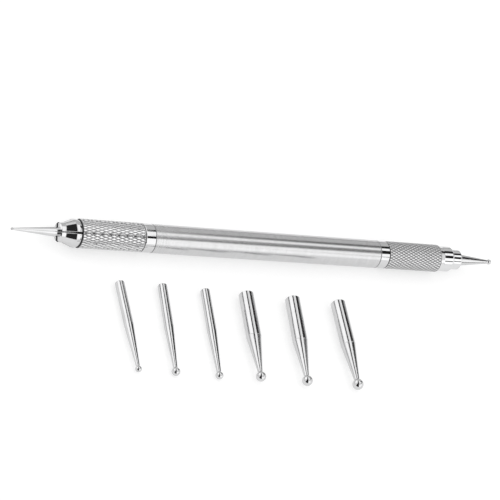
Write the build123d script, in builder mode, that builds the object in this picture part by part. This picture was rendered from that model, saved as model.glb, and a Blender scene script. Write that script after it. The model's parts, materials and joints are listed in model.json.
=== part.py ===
from build123d import *
from math import cos, radians, sin, sqrt
import os

os.makedirs("parts", exist_ok=True)

# Embossing stylus: a round handle with a chuck at each end, a tip in each chuck, and six loose
# spare tips in a row beside it. Millimetres, +Z up. The handle lies along X with its small tip
# towards -X, and everything rests on the plane Z = 0.

# fits between pieces
turning_gap = 0.08
running_clearance = 0.05
shank_clearance = 0.03
bond_gap = 0.02
end_gap = 0.3
overrun = 1.0
edge_break = 0.12
round_limit_share = 0.8

# screw threads, drawn as closed rings
thread_pitch = 0.7
thread_depth = 0.35
crest_start_share = 0.35
crest_end_share = 0.6

# tips
slim_shank_diameter = 2.8
slim_shank_length = 14.2
slim_taper_length = 13.85
stout_shank_diameter = 4.45
stout_shank_length = 15.0
stout_taper_length = 11.9
shank_edge_break = 0.3

# tip in the front chuck
front_tip_taper_length = 12.4
front_tip_neck_diameter = 0.62
front_tip_ball_diameter = 0.8
front_tip_shank_shown = 1.2

# tip in the rear chuck
rear_tip_taper_length = 13.9
rear_tip_neck_diameter = 1.2
rear_tip_ball_diameter = 1.66
rear_tip_shoulder_depth = 2.6

# spare tips, from the -X end: the place of each ball along the handle as a share of the barrel's
# length, its distance from the handle's axis as a share of the tip's length, and the angle in
# degrees by which the shank end swings towards +X
spare_kinds = ("slim", "slim", "slim", "stout", "stout", "stout")
spare_ball_diameters = (1.9, 2.5, 2.3, 3.0, 3.15, 3.35)
spare_neck_diameters = (1.1, 1.25, 1.3, 1.35, 1.45, 1.6)
spare_place_shares = (-0.658, -0.506, -0.327, -0.157, 0.041, 0.263)
spare_distance_shares = (1.5255, 1.539, 1.565, 1.644, 1.674, 1.6964)
spare_swing_angles = (0.8, 4.7, 4.7, 4.7, 5.3, 2.4)

# rear chuck, walls from the tip's shank outwards
rear_collet_wall = 0.645
seat_wall = 0.3
skirt_wall = 0.65
rear_knurl_length = 18.82
cap_chamfer_length = 1.4
step_one_wall = 1.0
step_one_length = 3.68
step_one_round = 0.65
step_two_wall = 0.725
step_two_length = 3.4
step_two_round = 0.5
mouth_clearance = 0.175
nose_thread_length = 8.0
chamber_gap = 0.9
seat_depth = 0.75
seat_clearance = 0.06
rear_cone_length = 1.2
rear_cone_drop = 0.4
front_cone_length = 1.5
front_cone_drop = 0.28
collet_end_gap = 0.7
rear_slot_width = 0.4
rear_slot_length = 11.5

# handle
barrel_length = 76.5
tube_wall = 1.0
band_length = 3.1
plug_depth = 8.0

# front chuck
front_collet_wall = 1.32
front_knurl_length = 20.0
sleeve_edge_break = 0.25
pilot_step = 0.3
pilot_length = 2.5
stem_shoulder = 0.65
stem_length = 11.2
stem_start_gap = 0.7
closing_cone_length = 2.3
bore_spare_depth = 1.0
front_slot_width = 0.4
slot_past_bore = 2.5
slot_angle = 123.5

# bell-shaped head of the front collet
head_length = 6.3
head_inset = 0.16
lip_wall = 1.12
lip_bevel = 0.275
lip_rim_length = 0.35
neck_rise = 0.05
neck_length = 1.2
flare_length = 3.1
head_land_length = 0.9
head_back_drop = 0.215
lip_round = 0.12
neck_round = 1.6
flare_round = 1.2
shoulder_round = 0.6

# radii, from the shanks outwards
slim_shank_radius = slim_shank_diameter / 2
stout_shank_radius = stout_shank_diameter / 2
rear_bore_radius = stout_shank_radius + shank_clearance
rear_collet_radius = rear_bore_radius + rear_collet_wall
nose_thread_radius = rear_collet_radius + seat_wall
cap_thread_radius = nose_thread_radius + running_clearance
barrel_radius = cap_thread_radius + thread_depth + skirt_wall
tube_bore_radius = barrel_radius - tube_wall
plug_radius = tube_bore_radius - bond_gap
front_bore_radius = slim_shank_radius + shank_clearance
front_collet_radius = front_bore_radius + front_collet_wall
sleeve_bore_radius = front_collet_radius + running_clearance
pilot_radius = sleeve_bore_radius + pilot_step
stem_radius = front_collet_radius - stem_shoulder
tapped_radius = stem_radius + running_clearance

# places along the handle, counted from the middle of the barrel
barrel_front = -barrel_length / 2
barrel_back = barrel_length / 2
front_band_face = barrel_front - band_length
rear_band_face = barrel_back + band_length
sleeve_back = front_band_face - turning_gap
sleeve_front = sleeve_back - front_knurl_length
lip_face = sleeve_front - head_length
cap_front = rear_band_face + turning_gap
cap_knurl_end = cap_front + rear_knurl_length
step_one_start = cap_knurl_end + cap_chamfer_length
step_one_face = step_one_start + step_one_length
cap_mouth = step_one_face + step_two_length


def ball_offset(ball_diameter, neck_diameter):
    """distance from the ball's centre to where the neck meets the ball"""
    return sqrt((ball_diameter / 2) ** 2 - (neck_diameter / 2) ** 2)


front_tip_offset = ball_offset(front_tip_ball_diameter, front_tip_neck_diameter)
front_tip_shoulder = lip_face - front_tip_shank_shown
front_ball_centre = front_tip_shoulder - front_tip_taper_length - front_tip_offset
front_end = front_ball_centre - front_tip_ball_diameter / 2

rear_tip_offset = ball_offset(rear_tip_ball_diameter, rear_tip_neck_diameter)
rear_tip_shoulder = cap_mouth - rear_tip_shoulder_depth
rear_ball_centre = rear_tip_shoulder + rear_tip_taper_length + rear_tip_offset
rear_end = rear_ball_centre + rear_tip_ball_diameter / 2

# sizes of the spare tips by kind: shank diameter, shank length and taper length
spare_sizes = {
    "slim": (slim_shank_diameter, slim_shank_length, slim_taper_length),
    "stout": (stout_shank_diameter, stout_shank_length, stout_taper_length),
}
spare_ball_distances = []
for kind, distance_share in zip(spare_kinds, spare_distance_shares):
    shank_diameter, shank_length, taper_length = spare_sizes[kind]
    spare_ball_distances.append(distance_share * (shank_length + taper_length))

# the origin is under the middle of the whole set
set_reach = max(
    distance + diameter / 2 for distance, diameter in zip(spare_ball_distances, spare_ball_diameters)
)
pen_origin = Vector(-(front_end + rear_end) / 2, (set_reach - barrel_radius) / 2, barrel_radius)
pen = Plane(origin=pen_origin, x_dir=(1, 0, 0), z_dir=(0, -1, 0))
pen_axis = Axis(pen_origin, (1, 0, 0))


def thread_rings(start, end, root_radius, crest_radius):
    """outline points of a thread drawn as closed rings, as many as fit between two places"""
    points = [(start, root_radius)]
    for ring in range(int((end - start) / thread_pitch - crest_start_share)):
        foot = start + ring * thread_pitch
        points.append((foot + crest_start_share * thread_pitch, crest_radius))
        points.append((foot + crest_end_share * thread_pitch, crest_radius))
        points.append((foot + thread_pitch, root_radius))
    return points


def slot_plane(middle, turn):
    """plane through the handle's axis, turned about it, for a slot centred at a place along it"""
    return Plane(
        origin=pen_origin + Vector(middle, 0, 0),
        x_dir=(1, 0, 0),
        z_dir=(0, -sin(radians(turn)), cos(radians(turn))),
    )


# barrel tube
with BuildPart() as barrel_tube:
    with BuildSketch(pen):
        with BuildLine():
            Polyline(
                (barrel_front, tube_bore_radius),
                (barrel_front, barrel_radius - edge_break),
                (barrel_front + edge_break, barrel_radius),
                (barrel_back - edge_break, barrel_radius),
                (barrel_back, barrel_radius - edge_break),
                (barrel_back, tube_bore_radius),
                close=True,
            )
        make_face()
    revolve(axis=pen_axis)
barrel_tube.part.label = "barrel_tube"
export_step(barrel_tube.part, "parts/barrel_tube.step")

# front end plug: bonded spigot, shoulder band and pilot, with a tapped bore for the collet's stem
pilot_face = front_band_face - pilot_length
front_plug_end = barrel_front + plug_depth
tapped_rings = thread_rings(
    pilot_face + thread_pitch,
    front_plug_end - thread_pitch,
    tapped_radius,
    tapped_radius + thread_depth,
)

with BuildPart() as front_end_plug:
    with BuildSketch(pen):
        with BuildLine():
            Polyline(
                (pilot_face, tapped_radius),
                (pilot_face, pilot_radius - edge_break),
                (pilot_face + edge_break, pilot_radius),
                (front_band_face, pilot_radius),
                (front_band_face, barrel_radius - edge_break),
                (front_band_face + edge_break, barrel_radius),
                (barrel_front - edge_break, barrel_radius),
                (barrel_front, barrel_radius - edge_break),
                (barrel_front, plug_radius),
                (front_plug_end, plug_radius),
                (front_plug_end, tapped_radius),
                *reversed(tapped_rings),
                close=True,
            )
        make_face()
    revolve(axis=pen_axis)
front_end_plug.part.label = "front_end_plug"
export_step(front_end_plug.part, "parts/front_end_plug.step")

# front collet: bell-shaped head, closing cone, body and threaded stem, split into four jaws
lip_radius = front_bore_radius + lip_wall
rim_radius = lip_radius + lip_bevel
neck_radius = rim_radius + neck_rise
head_radius = barrel_radius - head_inset
head_back_radius = head_radius - head_back_drop
neck_end = lip_face + lip_rim_length + neck_length
flare_end = neck_end + flare_length
head_back = sleeve_front - turning_gap
cone_end = head_back + closing_cone_length
stem_start = pilot_face - stem_start_gap
stem_end = stem_start + stem_length
stem_root_radius = stem_radius - thread_depth
front_bore_end = front_tip_shoulder + slim_shank_length + bore_spare_depth
front_slot_end = front_bore_end + slot_past_bore

with BuildPart() as front_collet:
    with BuildSketch(pen):
        with BuildLine():
            head = FilletPolyline(
                (lip_face, front_bore_radius),
                (lip_face, lip_radius),
                (lip_face + lip_rim_length, rim_radius),
                (neck_end, neck_radius),
                (flare_end, head_radius),
                (flare_end + head_land_length, head_radius),
                (head_back, head_back_radius),
                radius=[lip_round, lip_round, neck_round, flare_round, shoulder_round],
            )
            Polyline(
                head @ 1,
                (cone_end, front_collet_radius),
                (stem_start, front_collet_radius),
                *thread_rings(stem_start, stem_end, stem_root_radius, stem_radius),
                (stem_end, stem_root_radius),
                (stem_end, 0),
                (front_bore_end, 0),
                (front_bore_end, front_bore_radius),
                head @ 0,
            )
        make_face()
    revolve(axis=pen_axis)
    for turn in (slot_angle, slot_angle + 90):
        with BuildSketch(slot_plane((lip_face - overrun + front_slot_end) / 2, turn)):
            Rectangle(front_slot_end - lip_face + overrun, 2 * head_radius + overrun)
        extrude(amount=front_slot_width / 2, both=True, mode=Mode.SUBTRACT)
front_collet.part.label = "front_collet"
export_step(front_collet.part, "parts/front_collet.step")

# front knurled sleeve: turns on the plug's pilot and closes the collet with the cone in its mouth
socket_radius = pilot_radius + running_clearance
socket_end = pilot_face - end_gap

with BuildPart() as front_knurled_sleeve:
    with BuildSketch(pen):
        with BuildLine():
            Polyline(
                (sleeve_front, head_back_radius + running_clearance),
                (sleeve_front, barrel_radius - sleeve_edge_break),
                (sleeve_front + sleeve_edge_break, barrel_radius),
                (sleeve_back - sleeve_edge_break, barrel_radius),
                (sleeve_back, barrel_radius - sleeve_edge_break),
                (sleeve_back, socket_radius),
                (socket_end, socket_radius),
                (socket_end, sleeve_bore_radius),
                (cone_end, sleeve_bore_radius),
                close=True,
            )
        make_face()
    revolve(axis=pen_axis)
front_knurled_sleeve.part.label = "front_knurled_sleeve"
export_step(front_knurled_sleeve.part, "parts/front_knurled_sleeve.step")

# rear end plug: bonded spigot, shoulder band and threaded nose with a seat for the collet
nose_end = rear_band_face + nose_thread_length
nose_root_radius = nose_thread_radius - thread_depth
rear_collet_start = nose_end - seat_depth
rear_collet_end_radius = rear_collet_radius - rear_cone_drop
seat_foot = rear_collet_start - seat_clearance
seat_foot_radius = rear_collet_end_radius + seat_clearance
seat_mouth_radius = seat_foot_radius + rear_cone_drop * (nose_end - seat_foot) / rear_cone_length
plug_bore_radius = rear_bore_radius + running_clearance
rear_plug_end = barrel_back - plug_depth

with BuildPart() as rear_end_plug:
    with BuildSketch(pen):
        with BuildLine():
            Polyline(
                (rear_plug_end, plug_bore_radius),
                (rear_plug_end, plug_radius),
                (barrel_back, plug_radius),
                (barrel_back, barrel_radius - edge_break),
                (barrel_back + edge_break, barrel_radius),
                (rear_band_face - edge_break, barrel_radius),
                (rear_band_face, barrel_radius - edge_break),
                (rear_band_face, nose_root_radius),
                *thread_rings(rear_band_face + thread_pitch, seat_foot, nose_root_radius, nose_thread_radius),
                (seat_foot, nose_root_radius),
                (seat_foot, nose_thread_radius),
                (nose_end - edge_break, nose_thread_radius),
                (nose_end, nose_thread_radius - edge_break),
                (nose_end, seat_mouth_radius),
                (seat_foot, seat_foot_radius),
                (seat_foot, plug_bore_radius),
                close=True,
            )
        make_face()
    revolve(axis=pen_axis)
rear_end_plug.part.label = "rear_end_plug"
export_step(rear_end_plug.part, "parts/rear_end_plug.step")

# rear collet: sits in the plug's seat and closes on the shank in the cap's cone
rear_collet_face = step_one_face - collet_end_gap
front_cone_start = rear_collet_face - front_cone_length
front_cone_radius = rear_collet_radius - front_cone_drop
rear_slot_start = rear_collet_face - rear_slot_length

with BuildPart() as rear_collet:
    with BuildSketch(pen):
        with BuildLine():
            Polyline(
                (rear_collet_start, rear_bore_radius),
                (rear_collet_start, rear_collet_end_radius),
                (rear_collet_start + rear_cone_length, rear_collet_radius),
                (front_cone_start, rear_collet_radius),
                (rear_collet_face, front_cone_radius),
                (rear_collet_face, rear_bore_radius),
                close=True,
            )
        make_face()
    revolve(axis=pen_axis)
    for turn in (slot_angle, slot_angle + 90):
        with BuildSketch(slot_plane((rear_slot_start + rear_collet_face + overrun) / 2, turn)):
            Rectangle(rear_collet_face - rear_slot_start + overrun, 2 * rear_collet_radius + overrun)
        extrude(amount=rear_slot_width / 2, both=True, mode=Mode.SUBTRACT)
rear_collet.part.label = "rear_collet"
export_step(rear_collet.part, "parts/rear_collet.step")

# rear knurled cap: threaded skirt, chamber and cone for the collet, and two polished steps
chamber_start = nose_end + chamber_gap
chamber_radius = rear_collet_radius + running_clearance
cap_cone_end = rear_collet_face + seat_clearance
cap_cone_radius = front_cone_radius + seat_clearance
mouth_radius = stout_shank_radius + mouth_clearance
step_one_radius = chamber_radius + step_one_wall
step_two_radius = mouth_radius + step_two_wall
step_one_fillet = min(step_one_round, round_limit_share * (step_one_radius - step_two_radius))
step_two_fillet = min(step_two_round, round_limit_share * step_two_wall)
cap_rings = thread_rings(
    cap_front + thread_pitch,
    chamber_start - thread_pitch,
    cap_thread_radius,
    cap_thread_radius + thread_depth,
)

with BuildPart() as rear_knurled_cap:
    with BuildSketch(pen):
        with BuildLine():
            outside = FilletPolyline(
                (cap_front + sleeve_edge_break, barrel_radius),
                (cap_knurl_end, barrel_radius),
                (step_one_start, step_one_radius),
                (step_one_face, step_one_radius),
                (step_one_face, step_two_radius),
                (cap_mouth, step_two_radius),
                (cap_mouth, mouth_radius),
                radius=[sleeve_edge_break, sleeve_edge_break, step_one_fillet, edge_break, step_two_fillet],
            )
            Polyline(
                outside @ 1,
                (cap_cone_end, mouth_radius),
                (cap_cone_end, cap_cone_radius),
                (front_cone_start, chamber_radius),
                (chamber_start, chamber_radius),
                (chamber_start, cap_thread_radius),
                *reversed(cap_rings),
                (cap_front, cap_thread_radius),
                (cap_front, barrel_radius - sleeve_edge_break),
                outside @ 0,
            )
        make_face()
    revolve(axis=pen_axis)
rear_knurled_cap.part.label = "rear_knurled_cap"
export_step(rear_knurled_cap.part, "parts/rear_knurled_cap.step")


def make_tip(name, tip_plane, sizes, neck_diameter, ball_diameter):
    """ball tip, turned about its plane's X axis: ball at the origin, then neck, taper and shank"""
    shank_diameter, shank_length, taper_length = sizes
    shank_radius = shank_diameter / 2
    ball_radius = ball_diameter / 2
    neck_place = ball_offset(ball_diameter, neck_diameter)
    shoulder = neck_place + taper_length
    shank_end = shoulder + shank_length
    with BuildPart() as tip:
        with BuildSketch(tip_plane):
            with BuildLine():
                ThreePointArc((-ball_radius, 0), (0, ball_radius), (neck_place, neck_diameter / 2))
                Polyline(
                    (neck_place, neck_diameter / 2),
                    (shoulder, shank_radius),
                    (shank_end - shank_edge_break, shank_radius),
                    (shank_end, shank_radius - shank_edge_break),
                    (shank_end, 0),
                    (-ball_radius, 0),
                )
            make_face()
        revolve(axis=Axis(tip_plane.origin, tip_plane.x_dir))
    tip.part.label = name
    export_step(tip.part, f"parts/{name}.step")


# front tip, in the front collet
make_tip(
    "front_tip",
    Plane(origin=pen_origin + Vector(front_ball_centre, 0, 0), x_dir=(1, 0, 0), z_dir=(0, -1, 0)),
    (slim_shank_diameter, slim_shank_length, front_tip_taper_length),
    front_tip_neck_diameter,
    front_tip_ball_diameter,
)

# rear tip, in the rear collet
make_tip(
    "rear_tip",
    Plane(origin=pen_origin + Vector(rear_ball_centre, 0, 0), x_dir=(-1, 0, 0), z_dir=(0, 1, 0)),
    (stout_shank_diameter, stout_shank_length, rear_tip_taper_length),
    rear_tip_neck_diameter,
    rear_tip_ball_diameter,
)

# spare tips, each lying on its shank
for index, kind in enumerate(spare_kinds):
    shank_radius = spare_sizes[kind][0] / 2
    swing = radians(spare_swing_angles[index])
    ball_x = pen_origin.X + spare_place_shares[index] * barrel_length
    ball_y = pen_origin.Y - spare_ball_distances[index]
    make_tip(
        f"spare_tip_{index + 1}",
        Plane(
            origin=(ball_x, ball_y, shank_radius),
            x_dir=(sin(swing), cos(swing), 0),
            z_dir=(cos(swing), -sin(swing), 0),
        ),
        spare_sizes[kind],
        spare_neck_diameters[index],
        spare_ball_diameters[index],
    )
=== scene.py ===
import json
from math import cos, pi, radians, sin, sqrt

import bpy
import numpy as np
from mathutils import Matrix, Vector


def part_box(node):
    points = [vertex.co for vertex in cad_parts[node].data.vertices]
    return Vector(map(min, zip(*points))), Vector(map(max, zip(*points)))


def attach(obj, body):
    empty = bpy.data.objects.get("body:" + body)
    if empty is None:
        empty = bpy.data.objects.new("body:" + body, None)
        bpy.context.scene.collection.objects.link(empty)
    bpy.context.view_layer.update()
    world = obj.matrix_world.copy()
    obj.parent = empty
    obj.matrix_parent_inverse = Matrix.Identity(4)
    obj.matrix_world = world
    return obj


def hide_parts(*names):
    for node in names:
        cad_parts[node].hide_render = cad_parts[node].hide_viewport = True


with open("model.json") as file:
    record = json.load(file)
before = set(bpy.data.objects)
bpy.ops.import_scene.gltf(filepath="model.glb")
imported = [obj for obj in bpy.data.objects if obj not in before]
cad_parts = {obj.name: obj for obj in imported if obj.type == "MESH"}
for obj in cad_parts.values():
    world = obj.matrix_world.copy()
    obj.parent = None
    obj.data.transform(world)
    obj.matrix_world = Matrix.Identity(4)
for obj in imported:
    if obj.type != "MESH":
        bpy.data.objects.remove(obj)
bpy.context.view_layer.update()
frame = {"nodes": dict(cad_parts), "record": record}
nodes = frame["nodes"]
mounts = {mount["name"]: mount for mount in frame["record"]["mounts"]}
scene = bpy.context.scene
scene.view_settings.view_transform = "Standard"
mm = 0.001  # m
print("frame loaded:", len(nodes), "pieces")

# camera: in front of the set and to its left, looking down, rolled until the handle runs nearly level
shot = {
    "place": (-336.2, -327.21, 489.8),  # mm
    "azimuth": -133.63,  # degrees, as the next two
    "elevation": 45.36,
    "roll": 38.08,
    "lens": 166.32,  # mm, as the next
    "film": 36,
    "nearest": 0.01,  # m
}


def facing(azimuth, elevation, roll=0.0):
    # turns an object so that it looks at the set from that azimuth and elevation, in degrees
    a, e, r = radians(azimuth), radians(elevation), radians(roll)
    back = Vector((cos(e) * cos(a), cos(e) * sin(a), sin(e)))
    level = Vector((-sin(a), cos(a), 0))
    rise = back.cross(level)
    right = level * cos(r) + rise * sin(r)
    up = rise * cos(r) - level * sin(r)
    return Matrix((right, up, back)).transposed().to_4x4()


camera = bpy.data.objects.new("camera", bpy.data.cameras.new("camera"))
scene.collection.objects.link(camera)
camera.data.lens = shot["lens"]
camera.data.sensor_width = shot["film"]
camera.data.clip_start = shot["nearest"]
camera.matrix_world = Matrix.Translation(Vector(shot["place"]) * mm) @ facing(
    shot["azimuth"], shot["elevation"], shot["roll"]
)
scene.camera = camera
print("camera placed")


class Wire:
    # one output of a node; a sum with it adds Math nodes
    def __init__(self, sheet, socket):
        self.sheet, self.socket = sheet, socket

    def maths(self, operation, first, second):
        return self.sheet.add("Math", {"operation": operation}, {0: first, 1: second})

    def __add__(self, other):
        return self.maths("ADD", self, other)

    def __sub__(self, other):
        return self.maths("SUBTRACT", self, other)

    def __rsub__(self, other):
        return self.maths("SUBTRACT", other, self)

    def __mul__(self, other):
        return self.maths("MULTIPLY", self, other)

    __radd__, __rmul__ = __add__, __mul__


class Sheet:
    # the node tree of a material or of the world
    def __init__(self, owner):
        owner.use_nodes = True
        self.owner, self.tree = owner, owner.node_tree
        self.tree.nodes.clear()

    def add(self, kind, settings=None, sockets=None, out=0):
        # the only way nodes are made: type, settings, then values or wires by socket name or number
        node = self.tree.nodes.new("ShaderNode" + kind)
        for name, value in (settings or {}).items():
            if name == "stops":
                for stop, (place, shade) in zip(node.color_ramp.elements, value):
                    stop.position, stop.color = place, (shade, shade, shade, 1)
            else:
                setattr(node, name, value)
        for name, value in (sockets or {}).items():
            if isinstance(value, Wire):
                self.tree.links.new(value.socket, node.inputs[name])
            else:
                node.inputs[name].default_value = value
        return Wire(self, node.outputs[out]) if node.outputs else node

    def noise(self, place, stretch, detail, shift=0.0):
        # noise with a frequency of its own along each axis
        moved = self.add("Mapping", {}, {"Vector": place, "Location": (shift,) * 3, "Scale": stretch})
        return self.add("TexNoise", {}, {"Vector": moved, "Scale": 1.0, "Detail": detail})

    def blend(self, share, *colours):
        # colour between two colours, each written out or a wire; the Mix node holds colours on its
        # inputs 6 and 7 and its output 2
        ends = [c if isinstance(c, Wire) else (*c, 1) for c in colours]
        return self.add("Mix", {"data_type": "RGBA"}, {0: share, 6: ends[0], 7: ends[1]}, out=2)

    def rise(self, value, start, end):
        # 0 up to start, 1 from end on
        return self.add("MapRange", {}, {"Value": value, "From Min": start, "From Max": end})

    def seen(self):
        # 1 on rays from the camera, from gloss and through glass, 0 on soft light
        path = self.add("LightPath")
        rays = [Wire(self, path.socket.node.outputs[name]) for name in
                ("Is Camera Ray", "Is Glossy Ray", "Is Transmission Ray")]
        return rays[0] + rays[1] + rays[2]


# studio: a pale floor, two soft windows and a weaker one above, and cards that only the metal sees
studio = {
    "floorSize": 8.0,  # m
    "floorShade": 0.55,
    "floorLift": 0.56,  # added where the floor is seen, so that it reads as white paper
    "worldLight": 0.8,
    "reach": 3.0,  # m from the set to the lamps
}
# where each lamp stands (azimuth, elevation, degrees), its size in m and its brightness
lamps = {
    "front window": {"from": (-57, 29), "size": (3.45, 2.5), "glow": 0.5},
    "back window": {"from": (137, 32), "size": (2.5, 2.05), "glow": 0.5},
    "top window": {"from": (20, 66), "size": (2.6, 2.0), "glow": 0.38},
}
# each card follows a path of (azimuth, elevation, width) in degrees round the set
cards = {
    "grey wall": {"path": [(12, 29, 34), (50, 29, 34), (96, 29, 30)], "reach": 3.4, "glow": 0.68},
    "grey skirting": {"path": [(12, 4, 16), (50, 4, 16), (96, 4, 16)], "reach": 3.3, "glow": 0.47},
    "dark front": {
        "path": [(240, -3, 56), (232, 25, 54), (226, 46, 42), (190, 71, 24), (134, 68, 17), (112, 56, 14),
                 (101, 45, 11)],
        "reach": 2.6, "glow": 0.03,
    },
    "far gap": {"path": [(34, 58, 5.4), (34, 52, 13), (38, 46, 20), (31, 38, 15), (24, 24, 13), (22, 13, 8)],
                "reach": 2.7, "glow": 0.03},
    "cross gap": {"path": [(-6, 42, 5), (4, 42, 7), (16, 40, 8), (26, 38, 9)], "reach": 2.65, "glow": 0.03},
    "near gap": {
        "path": [(-52, 49, 6), (-42, 52.5, 9), (-33, 53, 12), (-24, 53, 14), (-12, 55, 15), (-4, 54, 12)],
        "reach": 2.8, "glow": 0.02,
    },
    "thin gap": {"path": [(-40, 28, 6), (-51.5, 28, 6)], "reach": 2.8, "glow": 0.03},
    "low gap": {"path": [(-37, 4, 9), (-47, 4, 9)], "reach": 2.8, "glow": 0.02},
}
cardGrid = {"along": 12, "across": 9}  # steps on each run of the path, and points across


def gridMesh(name, points, loop=False, poles=(False, False), heights=None):
    # points[row, column] in mm, each row a ring; loop joins the last row to the first, and a pole
    # closes the first or last row with a fan round its middle. With heights, each square is cut
    # along the diagonal whose ends are nearest in height, so that slanting grooves stay straight
    rows, columns = points.shape[:2]
    number = np.arange(rows * columns).reshape(rows, columns)
    below = number if loop else number[:-1]
    above = np.roll(number, -1, axis=0) if loop else number[1:]
    quads = np.stack((below, np.roll(below, -1, axis=1), np.roll(above, -1, axis=1), above), axis=-1)
    if heights is None:
        faces = quads.reshape(-1, 4).tolist()
    else:
        tall = heights.ravel()[quads]
        level = (np.abs(tall[..., 0] - tall[..., 2]) < np.abs(tall[..., 1] - tall[..., 3]))[..., None]
        halves = [np.where(level, quads[..., a], quads[..., b])
                  for a, b in (([0, 1, 2], [1, 2, 3]), ([0, 2, 3], [1, 3, 0]))]
        faces = np.concatenate(halves).reshape(-1, 3).tolist()
    places = points.reshape(-1, 3)
    for pole, row, turn in ((poles[0], number[0], -1), (poles[1], number[-1], 1)):
        if pole:
            middle = np.full(columns, len(places))
            places = np.concatenate((places, points[0 if turn < 0 else -1].mean(axis=0)[None]))
            fan = np.stack((row, np.roll(row, -1), middle)[::turn], axis=-1)
            faces += fan.tolist()
    mesh = bpy.data.meshes.new(name)
    mesh.from_pydata((places * mm).tolist(), [], faces)
    mesh.polygons.foreach_set("use_smooth", np.ones(len(faces), bool))
    mesh.update()
    return mesh


def stageObject(name, mesh, material):
    item = bpy.data.objects.new(name, mesh)
    scene.collection.objects.link(item)
    mesh.materials.append(material)
    return item


def card(name, path, reach, glow):
    # a strip on a sphere round the set: way = middle * cos swing + side * sin swing, where middle
    # follows the path and the swing covers the width there
    knots = np.radians(np.array(path, float))
    ways = np.stack((np.cos(knots[:, 1]) * np.cos(knots[:, 0]), np.cos(knots[:, 1]) * np.sin(knots[:, 0]),
                     np.sin(knots[:, 1])), axis=-1)
    steps = np.linspace(0, len(path) - 1, cardGrid["along"] * (len(path) - 1) + 1)
    middle = np.stack([np.interp(steps, range(len(path)), ways[:, k]) for k in range(3)], axis=-1)
    middle /= np.linalg.norm(middle, axis=1, keepdims=True)
    side = np.cross(middle, np.gradient(middle, axis=0))
    side /= np.linalg.norm(side, axis=1, keepdims=True)
    widths = np.interp(steps, range(len(path)), knots[:, 2])
    swing = np.linspace(-0.5, 0.5, cardGrid["across"])[None] * widths[:, None]
    points = middle[:, None] * np.cos(swing)[..., None] + side[:, None] * np.sin(swing)[..., None]
    rows, columns = swing.shape
    number = np.arange(rows * columns).reshape(rows, columns)
    quads = np.stack((number[:-1, :-1], number[:-1, 1:], number[1:, 1:], number[1:, :-1]), axis=-1)
    mesh = bpy.data.meshes.new(name)
    mesh.from_pydata((points.reshape(-1, 3) * reach).tolist(), [], quads.reshape(-1, 4).tolist())
    sheet = Sheet(bpy.data.materials.new(name))
    light = sheet.add("Emission", {}, {"Color": (1, 1, 1, 1), "Strength": glow})
    sheet.add("OutputMaterial", {}, {"Surface": light})
    item = stageObject(name, mesh, sheet.owner)
    for ray in ("camera", "diffuse", "shadow", "transmission"):
        setattr(item, "visible_" + ray, False)


for name, lamp in lamps.items():
    light = bpy.data.lights.new(name, "AREA")
    light.shape = "RECTANGLE"
    light.size, light.size_y = lamp["size"]
    light.energy = lamp["glow"] * pi * lamp["size"][0] * lamp["size"][1]  # W
    item = bpy.data.objects.new(name, light)
    scene.collection.objects.link(item)
    turn = facing(*lamp["from"])
    item.matrix_world = Matrix.Translation(turn.col[2].xyz * studio["reach"]) @ turn
    item.visible_camera = False

for name, spec in cards.items():
    card(name, **spec)

paper = Sheet(bpy.data.materials.new("paper floor"))
matt = paper.add("BsdfDiffuse", {}, {"Color": (*(studio["floorShade"],) * 3, 1)})
lift = paper.add("Emission", {}, {"Color": (1, 1, 1, 1), "Strength": paper.seen() * studio["floorLift"]})
paper.add("OutputMaterial", {}, {"Surface": paper.add("AddShader", {}, {0: matt, 1: lift})})
half = studio["floorSize"] / 2
floorMesh = bpy.data.meshes.new("floor")
corners = [(-half, -half, 0), (half, -half, 0), (half, half, 0), (-half, half, 0)]
floorMesh.from_pydata(corners, [], [(0, 1, 2, 3)])
stageObject("floor", floorMesh, paper.owner)

scene.world = bpy.data.worlds.new("studio")
sky = Sheet(scene.world)
strength = sky.seen() * (1 - studio["worldLight"]) + studio["worldLight"]
glowing = sky.add("Background", {}, {"Color": (1, 1, 1, 1), "Strength": strength})
sky.add("OutputWorld", {}, {"Surface": glowing})
print("studio set:", len(lamps), "lamps,", len(cards), "cards")

# the barrel's middle and the handle's radius, in mm, from the frame's grip
grip = mounts["barrel_grip"]
handle = {"middle": [v / mm for v in grip["pos_m"]], "radius": grip["dims"]["r_mm"]}

# the collet's head and the painted shade on it, in mm from the barrel's middle
nose = {
    "slots": (123.5, 33.5),  # turns of its two crossing slots, degrees
    "half": 0.2,  # half a slot's width
    "slotFade": (-0.004, -0.001),  # soft edge of the painted shade on the walls, mm2
    "cone": (-66.2, -63.2),  # from rim to widest ring, where the slots carry no painted shade
    "face": -67.45,
    "shadeSpread": (0.42, 0.13),  # how far the painted shade spreads from the slots at the face and behind the cone
    "fade": 0.1,  # soft edge along the handle
    "seam": (-61.74, -60.9),  # ring of painted shadow by the sleeve
    "seamFade": (0.06, 0.3),  # its soft edges, front and back
    "deburred": (0.34, 0.42),  # from a slot's middle, where the cone's dull strip ends
    "deburredRough": 0.5,  # added to the roughness there
}


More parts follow.
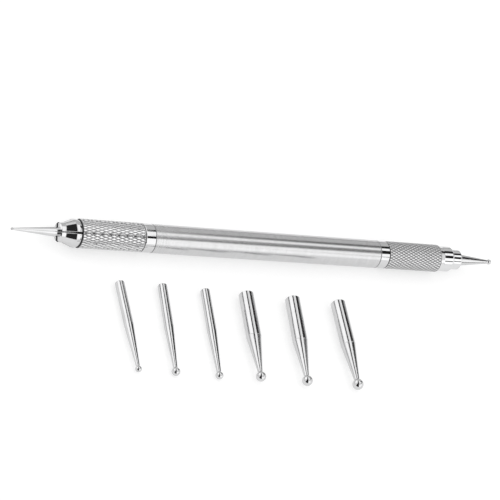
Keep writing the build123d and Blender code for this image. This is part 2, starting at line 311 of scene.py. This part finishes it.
def slotPaintedShade(sheet, place):
    # painted shade on the slots' walls, near the middle plane of each slot, and painted shadow on the ring
    # by the sleeve; returned with the extra roughness beside the slots
    parts = sheet.add("SeparateXYZ", {}, {"Vector": place})
    x, y, z = [Wire(sheet, parts.socket.node.outputs[k]) for k in range(3)]
    (front, back), fade = nose["cone"], nose["fade"]
    atFace, atBack = sheet.rise(x, nose["face"] + fade, nose["face"]), sheet.rise(x, back, back + fade)
    reach = nose["half"] + atFace * nose["shadeSpread"][0] + atBack * nose["shadeSpread"][1]
    inner, outer = nose["deburred"]
    slots, edges = 0, 0
    for turn in nose["slots"]:
        off = y * -sin(radians(turn)) + z * cos(radians(turn))
        slots = sheet.rise(reach * reach - off * off, *nose["slotFade"]) + slots
        edges = sheet.rise(off * off, outer ** 2, inner ** 2) + edges
    ends = sheet.rise(x, front, front - fade) + atBack
    (start, end), (fadeIn, fadeOut) = nose["seam"], nose["seamFade"]
    ring = sheet.rise(x, start, start + fadeIn) - sheet.rise(x, end - fadeOut, end)
    return slots * ends + ring, edges * (1 - ends) * nose["deburredRough"]


jointLine = {"at": 38.25, "half": 0.1, "fade": 0.04}  # dark line at each end of the barrel, mm


def jointGrime(sheet, place):
    # a thin dark line where the barrel meets each plug's polished band
    parts = sheet.add("SeparateXYZ", {}, {"Vector": place})
    off = sheet.add("Math", {"operation": "ABSOLUTE"}, {0: parts}) - jointLine["at"]
    half, edge = jointLine["half"], jointLine["half"] + jointLine["fade"]
    return sheet.rise(off * off, edge ** 2, half ** 2), 0


def knurlDirtAndShade(sheet, place):
    # dirt and painted shade in the grooves, and painted shade at the front end, worked out with the mesh
    return sheet.add("Attribute", {"attribute_name": "grime"}, {}, out="Fac"), 0


# finishes: shade and dull are the metal's two tones, rough is its roughness and spread how far that
# varies, ring and grain are the depths of its marks in mm, patchy is how much of the tone comes from
# handling, streaks is how many long marks there are in a mm, and the last share is how far dirt and
# painted shade darken it
polished = {"shade": 0.66, "dull": 0.61, "rough": 0.06, "spread": 0.05, "ring": 0.0003, "grain": 0.0002,
            "patchy": 0.5, "streaks": 15}
finishes = {
    "satinBarrel": {"shade": 0.66, "dull": 0.52, "rough": 0.235, "spread": 0.07, "ring": 0.0012,
                    "grain": 0.0008, "patchy": 0.1, "streaks": 2.2, "grime": 0.6},
    "brightMetal": {**polished, "grime": 0.6},
    "noseMetal": {**polished, "grime": 0.97},
    "knurledMetal": {**polished, "shade": 0.73, "dull": 0.64, "rough": 0.04, "spread": 0.03, "ring": 0.0004,
                     "grain": 0.0006, "grime": 0.87},
    "springSteel": {**polished, "shade": 0.56, "dull": 0.46, "rough": 0.3, "spread": 0.1, "ring": 0.001,
                    "grain": 0.001},
    "tipSteel": {**polished, "dull": 0.57, "rough": 0.09, "spread": 0.07, "ring": 0.0025, "grain": 0.0004},
}
# each kind of mark: how many in a mm along the piece and across it, its detail, and its shift
marks = {
    "rings": {"stretch": (38, 0.25, 0.25), "detail": 3.0},
    "grain": {"stretch": (9, 9, 9), "detail": 4.0, "shift": 7.0},
    "patches": {"stretch": (0.35, 0.5, 0.5), "detail": 3.0, "shift": 13.0},
    "arcs": {"detail": 2.0, "shift": 31.0},
}
# how the marks share in the tone, the roughness and the depth: arcAcross is the arcs' number in a mm
# across the piece beside that along it, worn is where the patches begin and end on the noise's scale,
# and cool is the metal's blue beside its red
shares = {"marked": 0.8, "grain": 0.2, "wornRough": 1.2, "arcRough": 0.7, "evenRough": 0.5, "arcDepth": 0.5,
          "arcAcross": 0.06, "worn": (0.35, 0.7), "cool": 1.008}
# colour and added roughness where dirt and painted shade darken the metal
dirtAndShadeLook = {"colour": (0.012, 0.012, 0.014), "rough": 0.5}


def metal(name, onAxis, dirtAndShadeOf=None):
    # turned metal: fine rings round the axis, a little grain, and dull patches where it is handled.
    # The pattern's own axis is the handle's for solid pieces, and the "lathe" attribute for made ones
    finish = finishes[name]
    sheet = Sheet(bpy.data.materials.new(name))
    if onAxis:
        spot = sheet.add("TexCoord", {}, {}, out="Object")
        back = [-v for v in handle["middle"]]
        place = sheet.add("Mapping", {}, {"Vector": spot, "Scale": (1 / mm,) * 3, "Location": back})
    else:
        place = sheet.add("Attribute", {"attribute_name": "lathe"}, {}, out="Vector")
    streaks, patchy, spread = finish["streaks"], finish["patchy"], finish["spread"]
    rings, grain, patches = [sheet.noise(place, **marks[k]) for k in ("rings", "grain", "patches")]
    across = streaks * shares["arcAcross"]
    arcs = sheet.noise(place, (streaks, across, across), **marks["arcs"])
    worn = sheet.add("ValToRGB", {"stops": list(zip(shares["worn"], (0, 1)))}, {"Fac": patches})
    tone = worn * patchy + arcs * (shares["marked"] - patchy) + grain * shares["grain"]
    rough = worn * (spread * shares["wornRough"] * patchy) + arcs * (spread * shares["arcRough"]) + (
        finish["rough"] - spread * shares["evenRough"])
    height = rings * finish["ring"] + arcs * (finish["ring"] * shares["arcDepth"]) + grain * finish["grain"]
    tones = [(v, v, v * shares["cool"]) for v in (finish["shade"], finish["dull"])]
    colour = sheet.blend(tone, *tones)
    bareMetal = 1.0
    # dirt and painted shade: darker colour, less metal and more roughness
    if dirtAndShadeOf:
        grime, roughened = dirtAndShadeOf(sheet, place)
        colour = sheet.blend(grime * finish["grime"], colour, dirtAndShadeLook["colour"])
        rough = rough + grime * dirtAndShadeLook["rough"] + roughened
        bareMetal = 1 - grime * finish["grime"]
    bump = sheet.add("Bump", {}, {"Height": height, "Strength": 1.0, "Distance": mm})
    body = sheet.add("BsdfPrincipled", {}, {"Base Color": colour, "Metallic": bareMetal, "Roughness": rough,
                                            "Normal": bump})
    sheet.add("OutputMaterial", {}, {"Surface": body})
    return sheet.owner


grooveDirtAndShade = {"below": 0.7, "solid": 1.1}  # the height that the grooves' dirt and painted shade reach, and their strength where all is painted dark
sharpFrom = 30  # degrees between faces, where shading breaks


def knurl(turn, along, spec):
    # height from 0 in a groove to 1 on a crest: two families of straight grooves cross, each a triangle
    # wave of turn * count / 2 pi plus or minus along / length; the lower wave is the surface, cut flat,
    # or the product of both waves, each rounded as 1 - (1 - wave) squared
    waves = [np.abs((turn * spec["count"] / (2 * pi) + way * along / spec["length"] + start) % 1 - 0.5) * 2
             for way, start in zip((1, -1), spec["starts"])]
    if spec["pillowed"]:
        return (1 - (1 - waves[0]) ** 2) * (1 - (1 - waves[1]) ** 2)
    return np.minimum(np.minimum(*waves) / spec["slope"], 1)


def addPiece(name, mesh, lathe, body, replaced, material, grime=None):
    # lathe holds each point's place about its own axis, in mm, for the turned marks, and the last argument
    # its dirt and painted shade
    item = bpy.data.objects.new(name, mesh)
    scene.collection.objects.link(item)
    spots = mesh.attributes.new("lathe", "FLOAT_VECTOR", "POINT")
    spots.data.foreach_set("vector", lathe.astype(np.float32).ravel())
    if grime is not None:
        dirtAndShadeLayer = mesh.attributes.new("grime", "FLOAT", "POINT")
        dirtAndShadeLayer.data.foreach_set("value", grime.astype(np.float32).ravel())
    mesh.set_sharp_from_angle(angle=radians(sharpFrom))
    mesh.materials.append(material)
    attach(item, body)
    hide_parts(replaced)


def turned(places, radii, columns, origin, along, side, first=0.0):
    # revolves a profile: point = origin + along * place + radius * (side * cos turn + up * sin turn)
    turn = first + np.linspace(0, 2 * pi, columns, endpoint=False)
    along, side = np.array(along, float), np.array(side, float)
    up = np.cross(along, side)
    places = np.broadcast_to(np.asarray(places)[:, None], (len(places), columns))
    radii = radii if radii.ndim == 2 else np.broadcast_to(radii[:, None], (len(radii), columns))
    local = np.stack((places, radii * np.cos(turn), radii * np.sin(turn)), axis=-1)
    points = np.array(origin, float) + local @ np.stack((along, side, up))
    return points, local


def knurledPiece(name, spec, rest, body, replaced):
    # knurled rows first, on a grid that holds the points where two grooves cross, then the rows of the
    # rest of the section. Radius = handle's radius - depth * (1 - height), or the bevelled edge's if
    # that is less
    stride = spec["length"] / spec["steps"]
    crossing = (spec["starts"][1] - spec["starts"][0]) / 2 * spec["length"]
    first = -(spec["starts"][0] + spec["starts"][1]) * pi / spec["count"]
    reach = int(max(abs(spec["front"]), abs(spec["back"])) / stride) + spec["steps"]
    rows = crossing + stride * np.arange(-reach, reach + 1)
    rows = rows[(rows > spec["front"]) & (rows < spec["back"])]
    ends = [spec["front"], spec["front"] + spec["edge"], spec["back"]]
    ends += [spec["back"] - spec["edge"]] * spec["bevelBack"]
    rows = np.unique(np.append(rows, ends))
    columns = spec["count"] * spec["steps"]
    turn = first + np.linspace(0, 2 * pi, columns, endpoint=False)[None]
    height = knurl(turn, rows[:, None], spec)
    nearest = rows - spec["front"]
    if spec["bevelBack"]:
        nearest = np.minimum(nearest, spec["back"] - rows)
    edge = handle["radius"] - spec["edge"] + np.minimum(nearest, spec["edge"])
    radii = np.minimum(handle["radius"] - spec["depth"] * (1 - height), edge[:, None])
    # dirt and painted shade in the grooves, darker the lower the point lies
    grime = np.clip(1 - height / grooveDirtAndShade["below"], 0, 1)
    rest = supported(rest)
    # painted shade over everything in front of the shaded end, where the piece meets its neighbour
    grime = np.maximum(grime, grooveDirtAndShade["solid"] * (rows < spec["paintedShadeTo"])[:, None])
    plain = np.repeat(rest[:, :1] < spec["paintedShadeTo"], columns, axis=1)
    grime = np.concatenate((grime, grooveDirtAndShade["solid"] * plain))
    places = np.concatenate((rows, rest[:, 0]))
    radii = np.concatenate((radii, np.repeat(rest[:, 1:], columns, axis=1)))
    points, local = turned(places, radii, columns, handle["middle"], (1, 0, 0), (0, 1, 0), first)
    mesh = gridMesh(name, points, loop=True, heights=radii)
    addPiece(name, mesh, local.reshape(-1, 3), body, replaced, knurled, grime)


def supported(section, near=0.05, longRun=0.3):
    # adds a point near each end of every long run, in mm, so that smooth shading stays in the rounded
    # corners: start + (end - start) * near / run, and the same from the end
    section = np.array(section, float)
    points = [section[0]]
    for start, end in zip(section, section[1:]):
        run = np.linalg.norm(end - start)
        if run > longRun:
            points += [start + (end - start) * near / run, end - (end - start) * near / run]
        points.append(end)
    return np.array(points)


def corner(before, at, after, radius, count=6):
    # points of an arc that rounds a corner of a section: centre + (start * sin((1 - s) swing)
    # + end * sin(s swing)) / sin swing, for s from 0 to 1
    before, at, after = (np.array(p, float) for p in (before, at, after))
    one, two = (before - at) / np.linalg.norm(before - at), (after - at) / np.linalg.norm(after - at)
    half = np.arccos(np.clip(one @ two, -1, 1)) / 2
    centre = at + (one + two) / np.linalg.norm(one + two) * radius / sin(half)
    start, end = at + one * radius / np.tan(half) - centre, at + two * radius / np.tan(half) - centre
    swing = pi - 2 * half
    steps = np.linspace(0, 1, count)
    return [centre + (start * sin((1 - s) * swing) + end * sin(s * swing)) / sin(swing) for s in steps]


satin = metal("satinBarrel", True, jointGrime)
bright = metal("brightMetal", True, jointGrime)
spring = metal("springSteel", True)
collet = metal("noseMetal", True, slotPaintedShade)
knurled = metal("knurledMetal", False, knurlDirtAndShade)
steel = metal("tipSteel", False)
for name, finish in {"barrel_tube": satin, "front_end_plug": bright, "rear_end_plug": bright,
                     "front_collet": collet, "rear_collet": spring}.items():
    nodes[name].material_slots[0].material = finish
print("finishes drawn")

# the knurled pieces, in mm from the barrel's middle: the ends of the diamonds, how many go round and
# how long each is, where the two families of grooves begin, in parts of a diamond, their depth, the
# share of a diamond that slopes, or pillowed ones with round tops, the bevelled edge, and grid steps to
# a diamond. All in front of the shaded end is painted dark, as shade where the piece meets its
# neighbour, and the rest of the section follows as (place, radius)

# front sleeve: its rest is a socket over the plug's pilot, a bore, and a cone in its mouth
sleeve = {
    "front": -61.43, "back": -41.43, "count": 32, "length": 2.625, "starts": (0.27, 0.93),
    "depth": 0.14, "slope": 0.5, "pillowed": False, "edge": 0.25, "bevelBack": True, "steps": 16,
    # painted shade ends here: the sleeve's front edge and mouth, by the collet's head, are painted dark
    "paintedShadeTo": -61.25,
    "bore": [(-41.43, 3.15), (-44.15, 3.15), (-44.15, 2.8), (-59.21, 2.8), (-61.43, 3.925)],
}
knurledPiece("knurledSleeve", sleeve, sleeve["bore"], "front_sleeve", "front_knurled_sleeve")

# rear cap: its rest is a chamfer, two polished steps with rounded shoulders, mouth, cone and thread,
# whose radius rises and falls once in a pitch
cap = {
    "front": 41.43, "back": 60.25, "count": 29, "length": 1.777, "starts": (0.83, 0.06),
    "depth": 0.15, "pillowed": True, "edge": 0.25, "bevelBack": False, "steps": 12,
    # painted shade ends here: the cap's front face, by the plug, is painted dark
    "paintedShadeTo": 41.53,
    "chamfer": [(60.27, 4.246), (61.65, 3.95)],
    "stepCorners": [(65.33, 3.95), (65.33, 3.125), (68.73, 3.125), (68.73, 2.4)],
    "rounds": (0.65, 0.12, 0.5),  # at the first three of them
    "mouth": [(64.69, 2.4), (64.69, 2.68), (63.13, 2.95), (50.25, 2.95), (50.25, 3.25)],
    "thread": {"from": 49.55, "to": 42.13, "radius": 3.25, "depth": 0.35, "pitch": 0.7, "points": 4},
}
section = list(cap["chamfer"])
outside = cap["chamfer"][-1:] + cap["stepCorners"]
for k, radius in enumerate(cap["rounds"], 1):
    section += corner(outside[k - 1], outside[k], outside[k + 1], radius)
section += outside[-1:] + cap["mouth"]
thread = cap["thread"]
threadPlaces = np.arange(thread["from"], thread["to"], -thread["pitch"] / thread["points"])
crests = [1 - abs((x / thread["pitch"]) % 1 - 0.5) * 2 for x in threadPlaces]
section += [(x, thread["radius"] + thread["depth"] * c) for x, c in zip(threadPlaces, crests)]
section += [(cap["front"], thread["radius"])]
knurledPiece("knurledCap", cap, section, "rear_cap", "rear_knurled_cap")
print("knurled pieces cut")

# tips, in mm: shank diameter, length and the lip at its shoulder, then each tip's taper, neck and ball
slim, stout = (2.8, 14.2, 0.0), (4.45, 15.0, 0.05)
tips = {
    "front_tip": {"shank": slim, "taper": 12.4, "neck": 0.62, "ball": 0.8},
    "rear_tip": {"shank": stout, "taper": 13.9, "neck": 1.2, "ball": 1.66},
    "spare_tip_1": {"shank": slim, "taper": 13.85, "neck": 1.1, "ball": 1.9},
    "spare_tip_2": {"shank": slim, "taper": 13.85, "neck": 1.25, "ball": 2.5},
    "spare_tip_3": {"shank": slim, "taper": 13.85, "neck": 1.3, "ball": 2.3},
    "spare_tip_4": {"shank": stout, "taper": 11.9, "neck": 1.35, "ball": 3.0},
    "spare_tip_5": {"shank": stout, "taper": 11.9, "neck": 1.45, "ball": 3.15},
    "spare_tip_6": {"shank": stout, "taper": 11.9, "neck": 1.6, "ball": 3.35},
}
# in mm: how softly ball and taper meet, the most that this lifts the ball's side, the lip's width and
# the bevel at the shank's end
tipRounding = {"neck": 0.09, "rise": 0.03, "lip": 0.04, "end": 0.3}
tipGrid = {"pole": 0.06, "ball": 20, "neck": 36, "taper": 44, "shank": 30, "round": 72}  # pole in radians
markShift = 40  # mm, so that no two tips share their marks


def tipProfile(spec):
    # radius by distance from the ball's centre: the larger of ball and taper, eased at the neck as
    # (ball + taper + root of ((ball - taper) squared + rounding squared)) / 2, then a lip and the shank
    ball, neck, shank = spec["ball"] / 2, spec["neck"] / 2, spec["shank"][0] / 2
    lip, lipWidth, rounding = spec["shank"][2], tipRounding["lip"], tipRounding["neck"]
    start = sqrt(ball * ball - neck * neck)
    shoulder = start + spec["taper"]
    end = shoulder + spec["shank"][1]
    places = np.concatenate((
        -ball * np.cos(np.linspace(tipGrid["pole"], pi / 2, tipGrid["ball"])),
        np.linspace(0, start * 2, tipGrid["neck"])[1:],
        np.linspace(start * 2, shoulder - lipWidth, tipGrid["taper"])[1:],
        [shoulder, shoulder + lipWidth, shoulder + lipWidth * 2],
        np.linspace(shoulder + lipWidth * 2, end - tipRounding["end"], tipGrid["shank"])[1:],
        [end],
    ))
    sphere = np.sqrt(np.maximum(ball * ball - places * places, 0))
    cone = neck + (shank - lip - neck) * (places - start) / spec["taper"]
    eased = (sphere + cone + np.sqrt((sphere - cone) ** 2 + rounding ** 2)) / 2
    most = np.where(places < start, sphere + tipRounding["rise"], eased)
    body = np.where(places <= 0, sphere, np.minimum(eased, most))
    radii = np.where(places <= shoulder, np.minimum(body, shank), shank)
    radii[-1] = shank - tipRounding["end"]
    return places, radii, shoulder


def tipPlace(name, ball, shoulder):
    # the ball's centre, in mm, and the way from it to the shank: a spare tip's mount is the middle of
    # its shank, and a tip in the handle has its ball at the outer end of its solid's box
    mount = mounts.get(name.replace("tip", "shank"))
    if mount:
        along = np.array(mount["axis"]) / np.linalg.norm(mount["axis"])
        return np.array(mount["pos_m"]) / mm - along * (shoulder + mount["dims"]["length_mm"] / 2), along
    low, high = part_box(name)
    way, end = (-1, high) if name == "rear_tip" else (1, low)
    _, y, z = handle["middle"]
    return np.array((end[0] / mm + way * ball / 2, y, z)), np.array((way, 0, 0), float)


for number, (name, spec) in enumerate(tips.items()):
    places, radii, shoulder = tipProfile(spec)
    centre, along = tipPlace(name, spec["ball"], shoulder)
    side = (-along[1], along[0], 0)
    points, local = turned(places, radii, tipGrid["round"], centre, along, side)
    local = np.concatenate((local.reshape(-1, 3), [(places[0], 0, 0), (places[-1], 0, 0)]))
    local[:, 0] += markShift * number
    mesh = gridMesh(name, points, poles=(True, True))
    addPiece("turned_" + name, mesh, local, name, name, steel)
print("tips turned:", len(tips))
